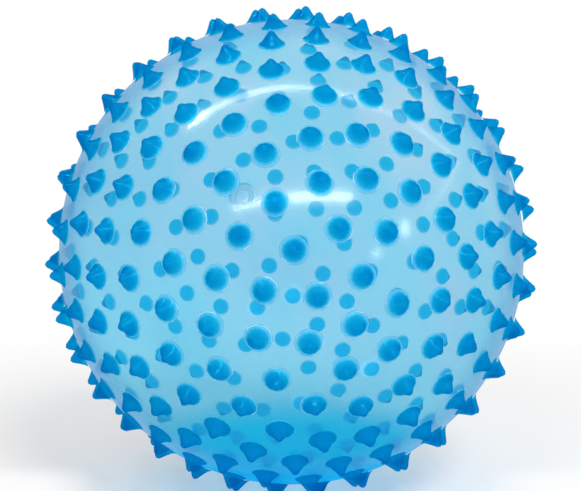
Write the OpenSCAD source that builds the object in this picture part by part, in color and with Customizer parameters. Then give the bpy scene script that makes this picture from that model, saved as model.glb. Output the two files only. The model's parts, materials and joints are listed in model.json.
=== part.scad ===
// Inflatable sensory ball: a thin hollow skin, rows of solid nubs and a plugged valve.
// Millimetres. The origin is the centre of the ball, +Z is up and the viewer stands at -Y.

/* [Ball] */
// Diameter over the nub tips
ball_d = 180; // [120:1:260]
// Wall thickness of the skin
wall = 1.8; // [1:0.1:4]
// How far the ball's weight presses its lowest tips flat
squash = 1.6; // [1.2:0.1:2.2]
// Turn of the front pole towards the viewer's right
pole_turn = 14; // [-180:1:180]
// Dip of the front pole below the horizon
pole_dip = 10; // [-90:1:90]

/* [Nubs] */
// Height of a nub above the skin
nub_h = 5.3; // [3:0.1:8]
// Diameter of the thin flared foot of a nub
foot_d = 9.7; // [7:0.1:12]
// Thickness of the foot at its edge
foot_edge = 0.25; // [0.1:0.05:0.6]
// Height at which the flare of the foot ends
flare_h = 0.9; // [0.5:0.1:1.5]
// Diameter of a nub where its flare ends
core_d = 7; // [5:0.1:9]
// Radius of the rounded tip
tip_r = 0.9; // [0.5:0.1:1.4]
// Room for the bond between the skin and what is joined to it
bond_gap = 0.05; // [0.03:0.01:0.15]

/* [Valve] */
// Diameter of the bore that takes the plug
bore_d = 5.2; // [4:0.1:7]
// Diameter of the neck that passes through the skin
neck_d = 11; // [9:0.1:13]
// Length of the neck inside its flange
neck_l = 8; // [4:0.5:16]
// Diameter of the flange inside the skin
flange_d = 18; // [15:0.5:24]
// Thickness of the flange
flange_t = 1.5; // [1:0.1:3]
// Diameter of the collar outside the skin
collar_d = 15; // [14:0.5:18]
// Height of the collar above the skin
collar_h = 1.2; // [0.8:0.1:2]
// Bevel round the collar
collar_bevel = 0.5; // [0.2:0.1:0.8]

/* [Plug] */
// Diameter of the plug's head
head_d = 10; // [8:0.5:12]
// Thickness of the plug's head
head_t = 1.4; // [1:0.1:2]
// Bevel round the plug's head
head_bevel = 0.5; // [0.2:0.1:0.8]
// Length of the plug's shank
shank_l = 12; // [8:0.5:16]
// Length of the taper at the shank's end
nose_l = 2; // [1:0.5:4]
// Diameter of the shank's end
nose_d = 3; // [2:0.1:4]
// Clearance round the shank
shank_gap = 0.3; // [0.2:0.05:0.4]

/* [Part] */
// Sub-part to draw

/* [Hidden] */
$fn = 64;

// Where each row starts, clockwise from the top, as a share of its own spacing.
row_turn_shares = [
    0.12, 0.67, 0.33, 0.26, 0.72, 0.77, 0.96, 0.25,
    0.22, 0.30, 0.95, 0.05, 0.59, 0.67, 0.29, 0.97
];

half_turn = 180;
full_turn = 360;
quarter_turn = 90;
row_step = half_turn / (len(row_turn_shares) + 1);

ball_r = ball_d / 2;
skin_r = ball_r - nub_h;
inner_r = skin_r - wall;
floor_z = squash - ball_r;

foot_r = foot_d / 2;
core_r = core_d / 2;
flare_z = skin_r + flare_h;
tip_z = ball_r - tip_r;

// The flank runs from the flare's end and meets the rounded tip without a corner.
flank_reach = sqrt(pow(core_r, 2) + pow(tip_z - flare_z, 2));
flank_angle = atan2(core_r, tip_z - flare_z) - asin(tip_r / flank_reach);
tip_steps = 4;

bore_r = bore_d / 2;
neck_r = neck_d / 2;
flange_r = flange_d / 2;
collar_r = collar_d / 2;
flange_z = inner_z(flange_r) - flange_t;
neck_z = flange_z - neck_l;
collar_z = skin_r + collar_h;

head_r = head_d / 2;
shank_r = bore_r - shank_gap;
nose_r = nose_d / 2;
head_z = collar_z + bond_gap;
nose_z = head_z - shank_l;

skin_color = [0.55, 0.82, 0.94, 0.5];
nub_color = [0.02, 0.6, 0.86];
valve_color = [0.45, 0.76, 0.92];
plug_color = [0.93, 0.95, 0.96];

// Height of the skin's outside and inside, at a distance from the axis of what is joined to it.
function seat_z(r) = sqrt(pow(skin_r, 2) - pow(r, 2)) + bond_gap;
function inner_z(r) = sqrt(pow(inner_r, 2) - pow(r, 2)) - bond_gap;

// Nubs in a row are as far apart along the row as the rows are from one another.
function row_angle(row) = row * row_step;
function row_count(row) = round(full_turn * sin(row_angle(row)) / row_step);
function nub_turn(row, i) =
    quarter_turn - (i + row_turn_shares[row - 1]) * full_turn / row_count(row);

// Height of the lowest point of a nub's tip, from its place on the ball.
function tip_rise(angle, turn) =
    cos(pole_dip) * sin(angle) * sin(turn) - sin(pole_dip) * cos(angle);
function tip_low_z(angle, turn) = tip_rise(angle, turn) * tip_z - tip_r;

// Turns +Z to the front pole, with +Y as near to upright as it can be.
module at_front_pole() {
    rotate([quarter_turn + pole_dip, 0, pole_turn])
        children();
}

module at_rear_pole() {
    at_front_pole()
        rotate([half_turn, 0, 0])
            children();
}

module below_floor() {
    translate([-ball_r, -ball_r, floor_z - ball_r])
        cube([ball_d, ball_d, ball_r]);
}

// A nub on +Z, on a seat that follows the skin.
module nub() {
    rotate_extrude()
        polygon(concat(
            [
                [0, skin_r + bond_gap],
                [foot_r, seat_z(foot_r)],
                [foot_r, seat_z(foot_r) + foot_edge],
                [core_r, flare_z]
            ],
            [
                for (i = [0:tip_steps])
                    let (a = flank_angle + (quarter_turn - flank_angle) * i / tip_steps)
                        [tip_r * cos(a), tip_z + tip_r * sin(a)]
            ]
        ));
}

// A nub in its place, cut flat where its tip presses on the floor.
module placed_nub(angle, turn) {
    if (tip_low_z(angle, turn) < floor_z)
        difference() {
            at_front_pole()
                rotate([0, angle, turn])
                    nub();
            below_floor();
        }
    else
        at_front_pole()
            rotate([0, angle, turn])
                nub();
}

module nub_front_pole() {
    color(nub_color)
        placed_nub(0, 0);
}

module nub_row(row) {
    color(nub_color)
        for (i = [0:row_count(row) - 1])
            placed_nub(row_angle(row), nub_turn(row, i));
}

module skin() {
    color(skin_color)
        difference() {
            sphere(r = skin_r);
            sphere(r = inner_r);
            at_rear_pole()
                cylinder(r = neck_r + bond_gap, h = ball_r);
        }
}

module valve_body() {
    color(valve_color)
        at_rear_pole()
            rotate_extrude()
                polygon([
                    [bore_r, neck_z],
                    [neck_r, neck_z],
                    [neck_r, flange_z],
                    [flange_r, flange_z],
                    [flange_r, inner_z(flange_r)],
                    [neck_r, inner_z(neck_r)],
                    [neck_r, seat_z(neck_r)],
                    [collar_r, seat_z(collar_r)],
                    [collar_r, collar_z - collar_bevel],
                    [collar_r - collar_bevel, collar_z],
                    [bore_r, collar_z]
                ]);
}

module valve_plug() {
    color(plug_color)
        at_rear_pole()
            rotate_extrude()
                polygon([
                    [0, nose_z],
                    [nose_r, nose_z],
                    [shank_r, nose_z + nose_l],
                    [shank_r, head_z],
                    [head_r, head_z],
                    [head_r, head_z + head_t - head_bevel],
                    [head_r - head_bevel, head_z + head_t],
                    [0, head_z + head_t]
                ]);
}

skin();
nub_front_pole();
nub_row(1);  // nub_row_01
nub_row(2);  // nub_row_02
nub_row(3);  // nub_row_03
nub_row(4);  // nub_row_04
nub_row(5);  // nub_row_05
nub_row(6);  // nub_row_06
nub_row(7);  // nub_row_07
nub_row(8);  // nub_row_08
nub_row(9);  // nub_row_09
nub_row(10);  // nub_row_10
nub_row(11);  // nub_row_11
nub_row(12);  // nub_row_12
nub_row(13);  // nub_row_13
nub_row(14);  // nub_row_14
nub_row(15);  // nub_row_15
nub_row(16);  // nub_row_16
valve_body();
valve_plug();
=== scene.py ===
"""Sensory ball: the look of a translucent blue ball with solid nubs and a plugged valve.

Metres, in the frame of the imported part: the origin is the ball's centre, +Z is up and the
viewer stands at -Y.
"""

import json
import math

import bmesh
import bpy
from mathutils import Matrix, Vector, noise as field


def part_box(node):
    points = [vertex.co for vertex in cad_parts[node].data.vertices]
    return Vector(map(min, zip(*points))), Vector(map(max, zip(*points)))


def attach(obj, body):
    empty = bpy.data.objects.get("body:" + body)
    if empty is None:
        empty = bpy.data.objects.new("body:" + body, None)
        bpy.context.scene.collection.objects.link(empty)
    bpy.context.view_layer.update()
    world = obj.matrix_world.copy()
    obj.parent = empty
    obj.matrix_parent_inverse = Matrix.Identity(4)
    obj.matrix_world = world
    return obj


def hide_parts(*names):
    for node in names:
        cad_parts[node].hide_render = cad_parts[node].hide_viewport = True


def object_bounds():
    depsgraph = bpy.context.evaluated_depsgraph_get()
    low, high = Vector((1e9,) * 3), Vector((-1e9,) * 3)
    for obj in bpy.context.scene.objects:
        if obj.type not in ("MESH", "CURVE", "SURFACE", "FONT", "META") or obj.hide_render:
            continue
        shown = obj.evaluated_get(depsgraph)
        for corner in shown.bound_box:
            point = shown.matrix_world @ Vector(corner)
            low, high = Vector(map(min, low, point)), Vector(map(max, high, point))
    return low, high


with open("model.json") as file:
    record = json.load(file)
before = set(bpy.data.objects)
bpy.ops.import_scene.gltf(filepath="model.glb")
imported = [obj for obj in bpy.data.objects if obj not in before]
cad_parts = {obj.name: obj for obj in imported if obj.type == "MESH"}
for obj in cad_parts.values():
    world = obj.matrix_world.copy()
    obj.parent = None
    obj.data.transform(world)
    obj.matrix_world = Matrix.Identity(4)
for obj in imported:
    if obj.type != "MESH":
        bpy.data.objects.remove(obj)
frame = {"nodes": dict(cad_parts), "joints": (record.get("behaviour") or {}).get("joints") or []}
cad_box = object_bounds()

MM = 0.001
NUB_NODES = sorted(name for name in frame["nodes"] if name.startswith("nub_"))

# Sizes that the frame gives.
SKIN_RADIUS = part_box("skin")[1].x
INSIDE_RADIUS = min(v.co.length for v in frame["nodes"]["skin"].data.vertices)
FLOOR_Z = cad_box[0].z
PLUG_AXIS = Vector(frame["joints"][0]["axis"]).normalized()
TIP_RADIUS = max(v.co.length for v in frame["nodes"]["nub_front_pole"].data.vertices)
NUB_HEIGHT = TIP_RADIUS - SKIN_RADIUS

# Half section of a nub, from its underside to its tip: distance from the axis, height above
# the skin, and depth of plastic as a share of the deepest. The underside counts as -1.
FOOT_RADIUS = 4.85 * MM
NUB_PROFILE = [
    (FOOT_RADIUS, -0.12 * MM, -1.0),
    (FOOT_RADIUS, 0.12 * MM, 0.0),
    (4.3 * MM, 0.36 * MM, 0.28),
    (3.6 * MM, 0.95 * MM, 0.60),
    (2.4 * MM, 2.6 * MM, 0.85),
    (1.05 * MM, NUB_HEIGHT - 0.6 * MM, 1.0),
]
NUB_SIDES = 12

# How far a nub may lean, and the least height of one as a share of the full height.
NUB_LEAN = math.radians(2.5)
NUB_SHORTEST = 0.95

# Points of a solid that are closer than this are one point.
WELD_DISTANCE = 0.01 * MM

# The skin is a little uneven, and open round the valve's neck.
SKIN_SUBDIVISIONS = 7
UNEVEN_HEIGHT = 0.02 * MM
UNEVEN_LENGTH = 35 * MM
HOLE_RADIUS = 5.55 * MM

# How many clear surfaces a ray may pass, one behind the other.
CLEAR_SURFACES = 32

scene = bpy.context.scene
scene.view_settings.view_transform = "Standard"
scene.cycles.transparent_max_bounces = CLEAR_SURFACES


def place(obj):
    scene.collection.objects.link(obj)
    return obj


def smooth(mesh):
    for face in mesh.polygons:
        face.use_smooth = True


# Nodes

NONE_TO_ALL = (0.0, 1.0)
WHITE = (1.0, 1.0, 1.0)


def feed(tree, socket, value):
    """Links an input to another node, or sets it to a constant. A plain colour is opaque."""
    if isinstance(value, bpy.types.NodeSocket):
        tree.links.new(value, socket)
    elif socket.type == "RGBA":
        socket.default_value = (*value, 1.0)
    else:
        socket.default_value = value


def node(tree, kind, inputs, **settings):
    """A node with its settings, and with inputs given by name or number."""
    made = tree.nodes.new(kind)
    for name, value in settings.items():
        setattr(made, name, value)
    for key, value in inputs.items():
        feed(tree, made.inputs[key], value)
    return made


def math_node(tree, operation, a, b):
    return node(tree, "ShaderNodeMath", {0: a, 1: b}, operation=operation).outputs[0]


def vector_math(tree, operation, *vectors):
    return node(tree, "ShaderNodeVectorMath", dict(enumerate(vectors)), operation=operation)


def combined(tree, x, y, z):
    return node(tree, "ShaderNodeCombineXYZ", {"X": x, "Y": y, "Z": z}).outputs[0]


def map_range(tree, source, ends, to=NONE_TO_ALL, smooth_ends=True):
    """Carries a value from one pair of ends to another, eased at both or in a straight line."""
    inputs = {
        "Value": source,
        "From Min": ends[0],
        "From Max": ends[1],
        "To Min": to[0],
        "To Max": to[1],
    }
    kind = "SMOOTHSTEP" if smooth_ends else "LINEAR"
    return node(tree, "ShaderNodeMapRange", inputs, interpolation_type=kind).outputs["Result"]


def ramp(tree, source, stops):
    """Colours, each with a share in its alpha, at places along a value."""
    made = node(tree, "ShaderNodeValToRGB", {"Fac": source})
    elements = made.color_ramp.elements
    while len(elements) < len(stops):
        elements.new(1.0)
    for element, (at, color, share) in zip(elements, stops):
        element.position = at
        element.color = (*color, share)
    return made.outputs["Color"], made.outputs["Alpha"]


def mix_color(tree, factor, a, b):
    made = node(tree, "ShaderNodeMix", {0: factor}, data_type="RGBA")
    for socket, color in zip([s for s in made.inputs if s.type == "RGBA"], (a, b)):
        feed(tree, socket, color)
    return [s for s in made.outputs if s.type == "RGBA"][0]


def mix_shader(tree, factor, a, b):
    return node(tree, "ShaderNodeMixShader", {0: factor, 1: a, 2: b}).outputs[0]


def shader(tree, kind, **inputs):
    return node(tree, kind, inputs).outputs[0]


def bump(tree, height, strength, rise):
    inputs = {"Height": height, "Strength": strength, "Distance": rise}
    return node(tree, "ShaderNodeBump", inputs).outputs["Normal"]


def attribute(tree, name):
    return node(tree, "ShaderNodeAttribute", {}, attribute_name=name).outputs["Fac"]


def place_in_piece(tree):
    """A point's place, from the origin of its piece."""
    return node(tree, "ShaderNodeTexCoord", {}).outputs["Object"]


def noise(tree, scale, detail):
    inputs = {"Vector": place_in_piece(tree), "Scale": scale, "Detail": detail}
    return node(tree, "ShaderNodeTexNoise", inputs).outputs["Fac"]


def outward(tree):
    """The direction from the origin."""
    return vector_math(tree, "NORMALIZE", place_in_piece(tree)).outputs["Vector"]


def along(tree, direction):
    """Distance along a direction from the origin."""
    return vector_math(tree, "DOT_PRODUCT", place_in_piece(tree), direction).outputs["Value"]


def from_axis(tree, axis):
    """Distance from a line through the origin."""
    across = vector_math(tree, "CROSS_PRODUCT", place_in_piece(tree), axis)
    return vector_math(tree, "LENGTH", across.outputs["Vector"]).outputs["Value"]


def distance(tree, place_at):
    """Distance from a place."""
    return vector_math(tree, "DISTANCE", place_in_piece(tree), place_at).outputs["Value"]


def slant(tree, normal=None):
    """0 where a surface is seen straight on, 1 where it is seen edge on."""
    inputs = {} if normal is None else {"Normal": normal}
    return node(tree, "ShaderNodeLayerWeight", inputs).outputs["Facing"]


def front_side(tree):
    """1 on the side of a surface that points outwards, 0 on its back."""
    geometry = node(tree, "ShaderNodeNewGeometry", {})
    return math_node(tree, "SUBTRACT", 1.0, geometry.outputs["Backfacing"])


# Materials

# Share of light that a clear gloss sends back straight on and at a slant, and how it grows.
GLOSS_SHARES = (0.012, 0.06)
GLOSS_FALLOFF = 5.0

# Values between which a noise pattern mostly lies.
NOISE_ENDS = (0.3, 0.7)

# The painted shade at the bottom and the painted light on the film end in an edge that wavers up
# and down by this.
WAVER = 4 * MM

# Tint of the plastic that fills the skin's hole.
HOLE_TINT = (0.50, 0.75, 0.87)


def new_material(name):
    material = bpy.data.materials.new(name)
    material.use_nodes = True
    material.node_tree.nodes.clear()
    return material, material.node_tree


def clear(tree, tint):
    return shader(tree, "ShaderNodeBsdfTransparent", Color=tint)


def milky(tree, color, normal, through):
    """Plastic that scatters light, a share of it to the other side."""
    return mix_shader(
        tree, through,
        shader(tree, "ShaderNodeBsdfDiffuse", Color=color, Normal=normal),
        shader(tree, "ShaderNodeBsdfTranslucent", Color=color, Normal=normal),
    )


def glossed(tree, body, normal, where, roughness, color=WHITE):
    """A clear gloss over a body, stronger at a slant."""
    grazing = math_node(tree, "POWER", slant(tree, normal), GLOSS_FALLOFF)
    shine = map_range(tree, grazing, NONE_TO_ALL, GLOSS_SHARES, smooth_ends=False)
    gloss = shader(tree, "ShaderNodeBsdfGlossy", Color=color, Normal=normal, Roughness=roughness)
    return mix_shader(tree, math_node(tree, "MULTIPLY", shine, where), body, gloss)


def low_share(tree, heights, lean=0.0):
    """0 above a height and 1 below a lower one, with a wavering edge that may lean sideways."""
    pattern = noise(tree, scale=22.0, detail=3.0)
    waver = map_range(tree, pattern, NONE_TO_ALL, (-WAVER, WAVER), smooth_ends=False)
    level = math_node(tree, "ADD", waver, along(tree, (lean, 0.0, 1.0)))
    return map_range(tree, level, heights)


def below_top(tree, node_name):
    """Distance below a node's top, along the plug's axis."""
    top = max(v.co.dot(PLUG_AXIS) for v in frame["nodes"][node_name].data.vertices)
    return math_node(tree, "SUBTRACT", top, along(tree, PLUG_AXIS))


# The film's tint is paler to the upper right and deeper to the lower left: painted light, where
# the lamps fall. It also changes in soft clouds. It is greyer where the film is seen at a slant,
# and deep blue towards the bottom: painted shade, where the ball's underside and the floor below
# it lie in shadow.
FILM_PAINTED_LIGHT_HEIGHTS = (85 * MM, -85 * MM)
FILM_PAINTED_LIGHT_LEAN = 0.35
FILM_PAINTED_LIGHT_TINTS = [
    (0.12, (0.82, 0.91, 0.975), 1.0),
    (0.50, (0.68, 0.83, 0.935), 1.0),
    (0.85, (0.60, 0.90, 1.0), 1.0),
]
FILM_CLOUD_ENDS = (0.35, 0.65)
FILM_CLOUD_SHARES = (0.0, 0.7)
FILM_CLOUD_TINT = (0.55, 0.88, 0.98)
FILM_EDGE_SLANTS = (0.5, 0.92)
FILM_EDGE_TINT = (0.50, 0.72, 0.90)
FILM_PAINTED_SHADE_HEIGHTS = (-63 * MM, -75 * MM)
FILM_PAINTED_SHADE_TINT = (0.01, 0.78, 0.99)

# Colours of the film's milky part, how much of the film is milky, and how much more of it is so
# at a slant and in the painted shade at the bottom.
FILM_MILK = (0.02, 0.54, 0.78)
FILM_EDGE_MILK = (0.45, 0.67, 0.85)
FILM_PAINTED_SHADE_MILK = (0.006, 0.62, 0.97)
FILM_MILK_SHARES = (0.20, 0.28)
FILM_EDGE_MORE = 0.40
FILM_PAINTED_SHADE_MORE = 0.20


def skin_material():
    """Thin tinted film, a little milky, with painted light to the upper right and painted shade,
    deep blue, towards the bottom.

    The wall's plastic is counted once, on its outside.
    """
    material, tree = new_material("skin_film")
    outer = attribute(tree, "outer")
    # Painted shade: deep blue towards the bottom, where the ball's underside and the floor below
    # it lie in shadow.
    bottom_shade = low_share(tree, FILM_PAINTED_SHADE_HEIGHTS)
    edge = map_range(tree, slant(tree), FILM_EDGE_SLANTS)

    # Painted light: the film is paler to the upper right, where the lamps fall, and deeper to the
    # lower left.
    painted_light = low_share(tree, FILM_PAINTED_LIGHT_HEIGHTS, FILM_PAINTED_LIGHT_LEAN)
    tint, _ = ramp(tree, painted_light, FILM_PAINTED_LIGHT_TINTS)
    clouds = noise(tree, scale=30.0, detail=1.0)
    clouds = map_range(tree, clouds, FILM_CLOUD_ENDS, FILM_CLOUD_SHARES)
    tint = mix_color(tree, clouds, tint, FILM_CLOUD_TINT)
    tint = mix_color(tree, edge, tint, FILM_EDGE_TINT)
    tint = mix_color(tree, bottom_shade, tint, FILM_PAINTED_SHADE_TINT)
    tint = mix_color(tree, outer, WHITE, tint)

    milk = mix_color(tree, edge, FILM_MILK, FILM_EDGE_MILK)
    milk = mix_color(tree, bottom_shade, milk, FILM_PAINTED_SHADE_MILK)
    share = map_range(tree, noise(tree, scale=22.0, detail=3.0), NOISE_ENDS, FILM_MILK_SHARES)
    more = math_node(
        tree, "MAXIMUM",
        math_node(tree, "MULTIPLY", edge, FILM_EDGE_MORE),
        math_node(tree, "MULTIPLY", bottom_shade, FILM_PAINTED_SHADE_MORE),
    )
    share = math_node(tree, "MULTIPLY", math_node(tree, "ADD", share, more), outer)

    normal = bump(tree, noise(tree, scale=60.0, detail=1.0), strength=0.03, rise=1.0 * MM)
    body = mix_shader(tree, share, clear(tree, tint), milky(tree, milk, normal, through=0.5))
    outside = math_node(tree, "MULTIPLY", front_side(tree), outer)
    body = glossed(tree, body, normal, outside, roughness=0.14)
    node(tree, "ShaderNodeOutputMaterial", {"Surface": body})
    return material


# A nub's plastic, from 0 at the underside over 0.5 at the foot's rim to 1 where it is deepest:
# the tint of what shines through with the share that is milky, and the colour of that share.
DEEP_TINT = (0.004, 0.57, 0.86)
NUB_TINTS = [
    (0.44, WHITE, 0.0),
    (0.50, (0.32, 0.62, 0.80), 0.2),
    (0.54, (0.36, 0.68, 0.85), 0.3),
    (0.555, (0.85, 0.97, 1.0), 0.62),
    (0.585, (0.80, 0.97, 1.0), 0.62),
    (0.61, (0.55, 0.95, 1.0), 0.62),
    (0.75, (0.42, 0.92, 1.0), 0.62),
    (0.83, (0.06, 0.78, 0.96), 0.60),
    (0.91, (0.012, 0.69, 0.92), 0.60),
    (0.99, DEEP_TINT, 0.60),
]
NUB_COLORS = [
    (0.54, (0.12, 0.46, 0.68), 1.0),
    (0.555, (0.34, 0.71, 0.90), 1.0),
    (0.585, (0.28, 0.67, 0.89), 1.0),
    (0.61, (0.10, 0.55, 0.85), 1.0),
    (0.75, (0.07, 0.52, 0.82), 1.0),
    (0.83, (0.008, 0.37, 0.64), 1.0),
    (0.91, (0.0016, 0.325, 0.612), 1.0),
    (0.99, (0.0005, 0.26, 0.565), 1.0),
]
NUB_UNDERSIDE_TO_DEEPEST = (-1.0, 1.0)

# How much deeper a nub looks where it is looked through the long way, or stands low on the ball
# in painted shade, and where it stands to the side of the ball as it is seen.
NUB_LONG_WAY_SLANTS = (0.42, 0.9)
NUB_PAINTED_SHADE_HEIGHTS = (-40 * MM, -56 * MM)
NUB_DEEPER = (0.0, 0.42)
NUB_ASIDE_SLANTS = (0.08, 0.40)
NUB_ASIDE_DEEPER = (0.0, 0.17)

# Depths between which the rim of the foot, the underside and the foot end.
NUB_RIM_DEPTHS = (0.0, 0.3)
NUB_UNDERSIDE_DEPTHS = (-0.9, -0.1)
NUB_FOOT_DEPTHS = (0.52, 0.75)

# Painted highlights: pale spots on the rim of the foot.
NUB_GLINT_ENDS = (0.5, 0.65)
NUB_GLINT_REACH = (0.62, 0.58)
NUB_GLINT_COLOR = (0.80, 0.95, 1.0)

# Colour of a nub's highlights.
NUB_GLOSS_COLOR = (0.04, 0.7, 1.0)


def nub_material():
    """Solid plastic: deep blue where it is thick, pale on the thin foot with painted highlights
    on its rim, clear underneath, and deeper in painted shade low on the ball.

    The milky share is counted once, on the side that is looked at.
    """
    material, tree = new_material("nub_solid")
    seen = front_side(tree)
    depth = attribute(tree, "depth")

    # Painted shade: nubs low on the ball look deeper, as they stand in shadow there.
    nub_bottom_shade = low_share(tree, NUB_PAINTED_SHADE_HEIGHTS)
    shade_deeper = map_range(tree, nub_bottom_shade, NONE_TO_ALL, NUB_DEEPER)
    long_way = map_range(tree, slant(tree), NUB_LONG_WAY_SLANTS, NUB_DEEPER)
    aside = slant(tree, outward(tree))
    aside = map_range(tree, aside, NUB_ASIDE_SLANTS, NUB_ASIDE_DEEPER)
    deeper = math_node(tree, "ADD", aside, math_node(tree, "MAXIMUM", long_way, shade_deeper))

    # The rim of the foot looks deeper only low on the ball, in the painted shade there, and the
    # underside nowhere.
    top_side = map_range(tree, depth, NUB_UNDERSIDE_DEPTHS)
    where = math_node(
        tree, "MAXIMUM",
        map_range(tree, depth, NUB_RIM_DEPTHS),
        math_node(tree, "MULTIPLY", nub_bottom_shade, top_side),
    )
    thick = map_range(tree, depth, NUB_UNDERSIDE_TO_DEEPEST, smooth_ends=False)
    thick = math_node(tree, "ADD", thick, math_node(tree, "MULTIPLY", deeper, where))
    tint, density = ramp(tree, thick, NUB_TINTS)
    color, _ = ramp(tree, thick, NUB_COLORS)

    # A nub of the far side is seen from its back, as an even tint without its foot.
    core = map_range(tree, depth, NUB_FOOT_DEPTHS)
    tint = mix_color(tree, seen, mix_color(tree, core, WHITE, DEEP_TINT), tint)

    # Painted highlights: pale spots on the rim of the foot.
    painted_glints = map_range(tree, noise(tree, scale=170.0, detail=1.0), NUB_GLINT_ENDS)
    on_rim = map_range(tree, thick, NUB_GLINT_REACH)
    painted_glints = math_node(tree, "MULTIPLY", painted_glints, on_rim)
    color = mix_color(tree, painted_glints, color, NUB_GLINT_COLOR)

    normal = bump(tree, noise(tree, scale=300.0, detail=2.0), strength=0.15, rise=0.6 * MM)
    share = math_node(tree, "MULTIPLY", density, seen)
    body = mix_shader(tree, share, clear(tree, tint), milky(tree, color, normal, through=0.4))
    body = glossed(tree, body, normal, seen, roughness=0.2, color=NUB_GLOSS_COLOR)
    node(tree, "ShaderNodeOutputMaterial", {"Surface": body})
    return material


# The valve's plastic: how far below its top the collar and the collar's face end, and how far
# from the axis the skin's hole does.
COLLAR_BELOW = (1.0 * MM, 0.8 * MM)
COLLAR_FACE_BELOW = (0.2 * MM, 0.1 * MM)
HOLE_REACH = (5.9 * MM, 5.7 * MM)
VALVE_TINT = (0.993, 0.998, 1.0)
VALVE_MILK = (0.46, 0.78, 0.92)
VALVE_MILK_SHARES = (0.60, 0.70)


def valve_material():
    """Clear soft plastic: milky outside the skin, with the skin's tint over the hole."""
    material, tree = new_material("valve_clear")
    below = below_top(tree, "valve_body")
    outside = map_range(tree, below, COLLAR_BELOW)
    seen = math_node(tree, "MULTIPLY", outside, front_side(tree))

    hole = math_node(
        tree, "MULTIPLY",
        map_range(tree, below, COLLAR_FACE_BELOW),
        map_range(tree, from_axis(tree, PLUG_AXIS), HOLE_REACH),
    )
    tint = mix_color(tree, hole, VALVE_TINT, HOLE_TINT)

    share = map_range(tree, noise(tree, scale=250.0, detail=2.0), NOISE_ENDS, VALVE_MILK_SHARES)
    share = math_node(tree, "MULTIPLY", share, seen)
    normal = bump(tree, noise(tree, scale=400.0, detail=2.0), strength=0.1, rise=0.4 * MM)
    milk = milky(tree, VALVE_MILK, normal, through=0.5)
    body = mix_shader(tree, share, clear(tree, tint), milk)
    body = glossed(tree, body, normal, seen, roughness=0.3)
    node(tree, "ShaderNodeOutputMaterial", {"Surface": body})
    return material


# The plug's plastic: how far below its top the head's face, its milk and its gloss end, and how
# far from the axis the bore does.
HEAD_FACE_BELOW = (0.3 * MM, 0.1 * MM)
HEAD_MILK_BELOW = (1.5 * MM, 1.2 * MM)
HEAD_GLOSS_BELOW = (1.3 * MM, 1.1 * MM)
BORE_REACH = (2.7 * MM, 2.4 * MM)
PLUG_TINT = (0.99, 0.997, 1.0)
PLUG_MILK = (0.72, 0.88, 0.95)
PLUG_MILK_SHARES = (0.25, 0.70)
PLUG_MILK_CHANGE = (0.9, 1.1)


def plug_material():
    """Whitish plastic, palest on the head, with the skin's tint over the bore."""
    material, tree = new_material("plug_clear")
    below = below_top(tree, "valve_plug")
    seen = front_side(tree)

    bore = math_node(
        tree, "MULTIPLY",
        map_range(tree, below, HEAD_FACE_BELOW),
        map_range(tree, from_axis(tree, PLUG_AXIS), BORE_REACH),
    )
    tint = mix_color(tree, bore, PLUG_TINT, HOLE_TINT)

    change = map_range(tree, noise(tree, scale=250.0, detail=2.0), NOISE_ENDS, PLUG_MILK_CHANGE)
    share = map_range(tree, below, HEAD_MILK_BELOW, PLUG_MILK_SHARES)
    share = math_node(tree, "MULTIPLY", math_node(tree, "MULTIPLY", share, change), seen)
    normal = bump(tree, noise(tree, scale=500.0, detail=3.0), strength=0.1, rise=0.3 * MM)
    milk = milky(tree, PLUG_MILK, normal, through=0.5)
    body = mix_shader(tree, share, clear(tree, tint), milk)
    outside = math_node(tree, "MULTIPLY", map_range(tree, below, HEAD_GLOSS_BELOW), seen)
    body = glossed(tree, body, normal, outside, roughness=0.2)
    node(tree, "ShaderNodeOutputMaterial", {"Surface": body})
    return material


SKIN = skin_material()
NUB = nub_material()
VALVE = valve_material()
PLUG = plug_material()


# Nubs

def nub_directions(node_name):
    """The outward direction of each nub of a row, from the solids of its CAD node."""
    shape = bmesh.new()
    shape.from_mesh(frame["nodes"][node_name].data)
    bmesh.ops.remove_doubles(shape, verts=shape.verts, dist=WELD_DISTANCE)
    left = set(shape.verts)
    found = []
    while left:
        todo = [left.pop()]
        total = Vector()
        while todo:
            vert = todo.pop()
            total += vert.co.normalized()
            for edge in vert.link_edges:
                other = edge.other_vert(vert)
                if other in left:
                    left.remove(other)
                    todo.append(other)
        found.append(total.normalized())
    shape.free()
    return sorted(found, key=lambda d: tuple(d))


def nub_shape():
    """One nub on the origin's +Z, closed, with the depth of plastic kept at each point."""
    mesh = bpy.data.meshes.new("nub_shape")
    shape = bmesh.new()
    depth = shape.verts.layers.float.new("depth")

    def point(radius, turn, height, deep):
        vert = shape.verts.new((radius * math.cos(turn), radius * math.sin(turn), height))
        vert[depth] = deep
        return vert

    turns = [math.tau * i / NUB_SIDES for i in range(NUB_SIDES)]
    sides = [(i, (i + 1) % NUB_SIDES) for i in range(NUB_SIDES)]
    rings = [
        [point(radius, turn, height, deep) for turn in turns]
        for radius, height, deep in NUB_PROFILE
    ]
    tip = point(0.0, 0.0, NUB_HEIGHT, 1.0)
    for low, high in zip(rings, rings[1:]):
        for i, j in sides:
            shape.faces.new((low[i], low[j], high[j], high[i]))
    for i, j in sides:
        shape.faces.new((rings[-1][i], rings[-1][j], tip))
    shape.faces.new(list(reversed(rings[0])))
    for ring in rings[:2]:
        for i, j in sides:
            shape.edges.get((ring[i], ring[j])).smooth = False
    shape.to_mesh(mesh)
    shape.free()
    smooth(mesh)
    return place(bpy.data.objects.new("nub_shape", mesh))


def pressed(tree, geometry, floor_z):
    """Moves what is lower than the floor up to it."""
    position = node(tree, "GeometryNodeInputPosition", {}).outputs[0]
    parts = node(tree, "ShaderNodeSeparateXYZ", {0: position}).outputs
    lifted = math_node(tree, "MAXIMUM", parts["Z"], floor_z)
    inputs = {"Geometry": geometry, "Position": combined(tree, parts["X"], parts["Y"], lifted)}
    return node(tree, "GeometryNodeSetPosition", inputs).outputs[0]


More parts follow.
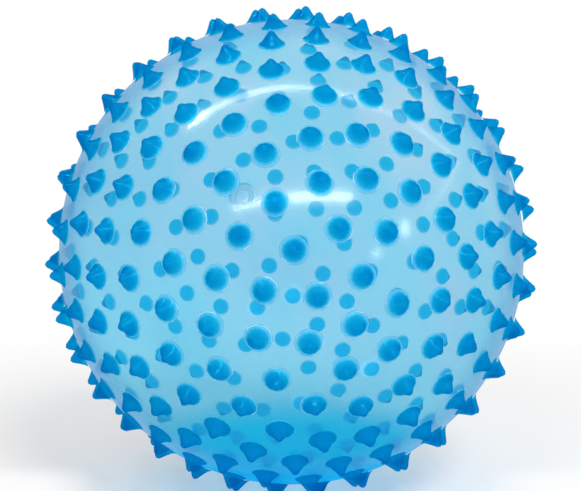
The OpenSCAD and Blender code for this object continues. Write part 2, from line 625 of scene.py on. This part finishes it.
def nub_tree():
    """Sets a nub on each point, turned and leaning a little, and presses it flat on the floor
    where it would reach below.
    """
    tree = bpy.data.node_groups.new("nubs_on_points", "GeometryNodeTree")
    ids = {}
    for name, kind in [
        ("Geometry", "NodeSocketGeometry"),
        ("Nub", "NodeSocketObject"),
        ("Lean", "NodeSocketFloat"),
        ("Shortest", "NodeSocketFloat"),
        ("Floor", "NodeSocketFloat"),
        ("Seed", "NodeSocketInt"),
        ("Material", "NodeSocketMaterial"),
    ]:
        socket = tree.interface.new_socket(name, in_out="INPUT", socket_type=kind)
        ids[name] = socket.identifier
    tree.interface.new_socket("Geometry", in_out="OUTPUT", socket_type="NodeSocketGeometry")
    given = node(tree, "NodeGroupInput", {}).outputs

    def random_between(low, high, salt):
        seed = math_node(tree, "ADD", given["Seed"], salt)
        made = node(tree, "FunctionNodeRandomValue", {"Seed": seed}, data_type="FLOAT")
        for socket, value in zip([s for s in made.inputs if s.enabled], (low, high)):
            feed(tree, socket, value)
        return [s for s in made.outputs if s.enabled][0]

    out = node(
        tree, "GeometryNodeInputNamedAttribute", {"Name": "out"}, data_type="FLOAT_VECTOR",
    )
    out = [s for s in out.outputs if s.enabled][0]
    aim = node(tree, "FunctionNodeAlignRotationToVector", {"Vector": out}, axis="Z")
    shape = node(tree, "GeometryNodeObjectInfo", {"Object": given["Nub"]})
    height = random_between(given["Shortest"], 1.0, salt=1)
    on_points = node(tree, "GeometryNodeInstanceOnPoints", {
        "Points": given["Geometry"],
        "Instance": shape.outputs["Geometry"],
        "Rotation": aim.outputs[0],
        "Scale": combined(tree, 1.0, 1.0, height),
    })

    other_way = math_node(tree, "MULTIPLY", given["Lean"], -1.0)
    tilt = combined(
        tree,
        random_between(other_way, given["Lean"], salt=2),
        random_between(other_way, given["Lean"], salt=3),
        random_between(0.0, math.tau, salt=4),
    )
    leaning = node(tree, "GeometryNodeRotateInstances", {
        "Instances": on_points.outputs[0],
        "Rotation": tilt,
    })
    real = node(tree, "GeometryNodeRealizeInstances", {"Geometry": leaning.outputs[0]})
    painted = node(tree, "GeometryNodeSetMaterial", {
        "Geometry": pressed(tree, real.outputs[0], given["Floor"]),
        "Material": given["Material"],
    })
    node(tree, "NodeGroupOutput", {"Geometry": painted.outputs[0]})
    return tree, ids


def nub_row(node_name, tree, ids, shape, seed):
    """The nubs of one CAD node, as one mesh."""
    directions = nub_directions(node_name)
    points = bpy.data.meshes.new(node_name + "_points")
    points.from_pydata([d * SKIN_RADIUS for d in directions], [], [])
    out = points.attributes.new("out", "FLOAT_VECTOR", "POINT")
    for i, direction in enumerate(directions):
        out.data[i].vector = direction
    maker = place(bpy.data.objects.new(node_name + "_maker", points))
    modifier = maker.modifiers.new("nubs", "NODES")
    modifier.node_group = tree
    for name, value in [
        ("Nub", shape),
        ("Lean", NUB_LEAN),
        ("Shortest", NUB_SHORTEST),
        ("Floor", FLOOR_Z),
        ("Seed", seed),
        ("Material", NUB),
    ]:
        modifier[ids[name]] = value
    evaluated = maker.evaluated_get(bpy.context.evaluated_depsgraph_get())
    mesh = bpy.data.meshes.new_from_object(evaluated)
    mesh.name = node_name + "_look"
    maker.modifiers.remove(modifier)
    bpy.data.objects.remove(maker)
    smooth(mesh)
    piece = place(bpy.data.objects.new(node_name + "_look", mesh))
    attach(piece, "ball")
    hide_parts(node_name)


one_nub = nub_shape()
nubs, nub_inputs = nub_tree()
for index, name in enumerate(NUB_NODES):
    nub_row(name, nubs, nub_inputs, one_nub, index)
bpy.data.objects.remove(one_nub)


# Skin

def open_sphere():
    """A sphere of radius 1 with a round hole for the valve's neck."""
    shape = bmesh.new()
    bmesh.ops.create_icosphere(shape, subdivisions=SKIN_SUBDIVISIONS, radius=1.0)
    hole = HOLE_RADIUS / SKIN_RADIUS
    hole_middle = PLUG_AXIS * math.sqrt(1 - hole ** 2)
    inside = [
        v for v in shape.verts
        if v.co.cross(PLUG_AXIS).length < hole and v.co.dot(PLUG_AXIS) > 0
    ]
    bmesh.ops.delete(shape, geom=inside, context="VERTS")
    for vert in shape.verts:
        if vert.is_boundary:
            across = vert.co - PLUG_AXIS * vert.co.dot(PLUG_AXIS)
            vert.co = hole_middle + across.normalized() * hole
    return shape


def skin_piece():
    """A hollow wall, a little uneven on its outside, where it only dips."""
    shape = open_sphere()
    outer = shape.verts.layers.float.new("outer")
    faces = list(shape.faces)
    rim = [loop for face in faces for loop in face.loops if loop.edge.is_boundary]
    rim = [(loop.vert, loop.link_loop_next.vert) for loop in rim]
    inside = {}
    for vert in list(shape.verts):
        direction = vert.co.normalized()
        inside[vert] = shape.verts.new(direction * INSIDE_RADIUS)
        uneven = field.noise(direction * (SKIN_RADIUS / UNEVEN_LENGTH)) - 1
        vert.co = direction * (SKIN_RADIUS + UNEVEN_HEIGHT * uneven)
        vert[outer] = 1.0
    for face in faces:
        shape.faces.new([inside[v] for v in reversed(face.verts)])
    for start, end in rim:
        shape.faces.new((end, start, inside[start], inside[end]))
    mesh = bpy.data.meshes.new("skin_look")
    shape.to_mesh(mesh)
    shape.free()
    smooth(mesh)
    mesh.materials.append(SKIN)
    piece = place(bpy.data.objects.new("skin_look", mesh))
    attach(piece, "ball")
    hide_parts("skin")


skin_piece()


# Valve

def dress(node_name, material):
    mesh = frame["nodes"][node_name].data
    mesh.materials.clear()
    mesh.materials.append(material)


dress("valve_body", VALVE)
dress("valve_plug", PLUG)


# Stage

# Camera, from the photograph's frame.
PHOTO_WIDTH = 581
PHOTO_HEIGHT = 491
BALL_CENTRE_PX = (291.5, 252.0)
FOCAL_PX = 1610.8
CAMERA_DISTANCE = 7 * SKIN_RADIUS
CAMERA_RISE = math.radians(6)
SENSOR_WIDTH = 36.0

# Brightness of the white all round, where it lights a thing and where it is seen.
WORLD_BRIGHTNESS = (0.55, 1.0)

# The floor is seen as pure white far from the ball, where it fades into the backdrop. Before and
# beside the ball it is nearly so too: painted light over the shadow that falls there.
FLOOR_HALF = 4.0
FLOOR_COLOR = (0.97, 0.95, 0.935)
FLOOR_FAR = (0.20, 0.42)
FLOOR_FAR_WHITE = (0.30, 1.0)
FLOOR_BEFORE = (0.055, 0.0)
FLOOR_BESIDE = (0.055, 0.10)
FLOOR_BESIDE_WHITE = (0.0, 0.85)
BACKWARD = (0.0, 1.0, 0.0)

# A warm tint painted on the floor in the shadow, where the light comes through the ball blue: its
# middle, from the point below the ball's centre, and the distances from there between which its
# colour comes in.
SHADE_MIDDLE = (-0.04, 0.08, 0.0)
SHADE_REACH = (0.14, 0.02)
SHADE_COLOR = (0.96, 0.82, 0.76)

# Lamps that light the ball and don't show in its gloss: place and brightness.
LAMP_SIZE = 0.7
LAMPS = {
    "key": ((0.63, -1.73, 1.54), 22.5),
    "fill": ((-0.63, -1.73, 1.54), 7.0),
}

# Strip lights that only show as highlights: both ends and the width, in metres from the ball's
# centre as the viewer sees them (right, up, toward), and how bright each is.
STRIPS = {
    "front_left": ((-0.56, 0.41, 1.07), (-0.29, 0.49, 1.15), 0.055, 58.0),
    "front_right": ((-0.29, 0.49, 1.15), (0.57, 0.52, 1.02), 0.08, 66.0),
    "overhead_left": ((-0.80, 0.96, 0.19), (0.06, 1.25, 0.17), 0.045, 62.0),
    "overhead_broad": ((-0.78, 0.975, 0.185), (-0.65, 1.065, 0.18), 0.13, 52.0),
    "overhead_middle": ((0.06, 1.25, 0.17), (0.66, 1.06, 0.13), 0.045, 46.0),
    "overhead_right": ((0.66, 1.06, 0.13), (1.09, 0.59, -0.19), 0.05, 14.0),
    "side_strip": ((1.09, 0.59, -0.19), (1.11, 0.33, 0.50), 0.03, 12.0),
    "side_short": ((1.016, 0.27, 0.72), (1.008, 0.15, 0.765), 0.08, 50.0),
    "side_spot": ((0.80, 0.02, 1.00), (0.81, -0.04, 0.99), 0.08, 42.0),
}


def seen_ray(tree):
    """1 for rays that look at a thing, straight or by way of a gloss, and 0 for light."""
    path = node(tree, "ShaderNodeLightPath", {}).outputs
    seen = path["Is Camera Ray"]
    for name in ("Is Glossy Ray", "Is Transmission Ray"):
        seen = math_node(tree, "MAXIMUM", seen, path[name])
    return seen


def world_light():
    """White where it is seen, and dimmer where it lights."""
    world = bpy.data.worlds.new("studio")
    scene.world = world
    world.use_nodes = True
    tree = world.node_tree
    tree.nodes.clear()
    brightness = map_range(tree, seen_ray(tree), NONE_TO_ALL, WORLD_BRIGHTNESS)
    back = shader(tree, "ShaderNodeBackground", Color=WHITE, Strength=brightness)
    node(tree, "ShaderNodeOutputWorld", {"Surface": back})


def floor_material():
    """White, with painted light before and beside the ball and a warm tint painted in the shadow.
    It fades into the white behind it.
    """
    material, tree = new_material("floor_white")
    from_ball = distance(tree, (0.0, 0.0, 0.0))
    far = map_range(tree, from_ball, FLOOR_FAR, FLOOR_FAR_WHITE)
    # Painted light: the floor glows nearly white before and beside the ball.
    before = map_range(tree, along(tree, BACKWARD), FLOOR_BEFORE)
    beside = map_range(tree, from_ball, FLOOR_BESIDE, FLOOR_BESIDE_WHITE)
    share = math_node(tree, "MAXIMUM", far, math_node(tree, "MULTIPLY", before, beside))
    share = math_node(tree, "MULTIPLY", share, seen_ray(tree))
    # Painted shade: a warm tint in the shadow behind the ball.
    shaded = map_range(tree, distance(tree, SHADE_MIDDLE), SHADE_REACH)
    color = mix_color(tree, shaded, FLOOR_COLOR, SHADE_COLOR)
    plain = shader(tree, "ShaderNodeBsdfDiffuse", Color=color)
    white = shader(tree, "ShaderNodeEmission", Color=WHITE)
    node(tree, "ShaderNodeOutputMaterial", {"Surface": mix_shader(tree, share, plain, white)})
    return material


def floor():
    mesh = bpy.data.meshes.new("floor")
    corners = [(-1, -1, 0), (1, -1, 0), (1, 1, 0), (-1, 1, 0)]
    mesh.from_pydata([Vector(corner) * FLOOR_HALF for corner in corners], [], [(0, 1, 2, 3)])
    mesh.materials.append(floor_material())
    piece = place(bpy.data.objects.new("floor", mesh))
    piece.location.z = FLOOR_Z


def view_place(right, up, toward):
    """A place given as the viewer sees it, in the part's frame."""
    rise = CAMERA_RISE
    return Vector((
        right,
        up * math.sin(rise) - toward * math.cos(rise),
        up * math.cos(rise) + toward * math.sin(rise),
    ))


def facing_ball(place_at):
    """The matrix of a camera or lamp at a place, turned towards the ball's centre."""
    turn = (-Vector(place_at)).to_track_quat("-Z", "Y")
    return Matrix.Translation(place_at) @ turn.to_matrix().to_4x4()


def camera():
    data = bpy.data.cameras.new("camera")
    data.sensor_width = SENSOR_WIDTH
    data.lens = FOCAL_PX * SENSOR_WIDTH / PHOTO_WIDTH
    data.shift_x = (PHOTO_WIDTH / 2 - BALL_CENTRE_PX[0]) / PHOTO_WIDTH
    data.shift_y = (BALL_CENTRE_PX[1] - PHOTO_HEIGHT / 2) / PHOTO_WIDTH
    obj = place(bpy.data.objects.new("camera", data))
    obj.matrix_world = facing_ball(view_place(0, 0, CAMERA_DISTANCE))
    scene.camera = obj


def area_light(name, width, height, radiance):
    """A flat light of a given brightness, not yet in its place."""
    lamp = bpy.data.lights.new(name, "AREA")
    lamp.shape = "RECTANGLE"
    lamp.size, lamp.size_y = width, height
    lamp.energy = radiance * math.pi * width * height
    return place(bpy.data.objects.new(name, lamp))


def lamp_light(name, place_at, radiance):
    """A square light that lights the ball and doesn't show in its gloss."""
    obj = area_light(name, LAMP_SIZE, LAMP_SIZE, radiance)
    obj.matrix_world = facing_ball(place_at)
    obj.visible_glossy = False


def strip_light(name, start, end, width, radiance):
    """A long light between two places that shows as a highlight and lights nothing else."""
    start, end = view_place(*start), view_place(*end)
    middle = (start + end) / 2
    line = (end - start).normalized()
    back = (middle - line * middle.dot(line)).normalized()
    obj = area_light(name, (end - start).length, width, radiance)
    turn = Matrix((line, back.cross(line), back)).transposed().to_4x4()
    obj.matrix_world = Matrix.Translation(middle) @ turn
    obj.visible_camera = False
    obj.visible_diffuse = False
    obj.visible_transmission = False


world_light()
floor()
camera()
for name, lamp in LAMPS.items():
    lamp_light(name, *lamp)
for name, strip in STRIPS.items():
    strip_light(name, *strip)
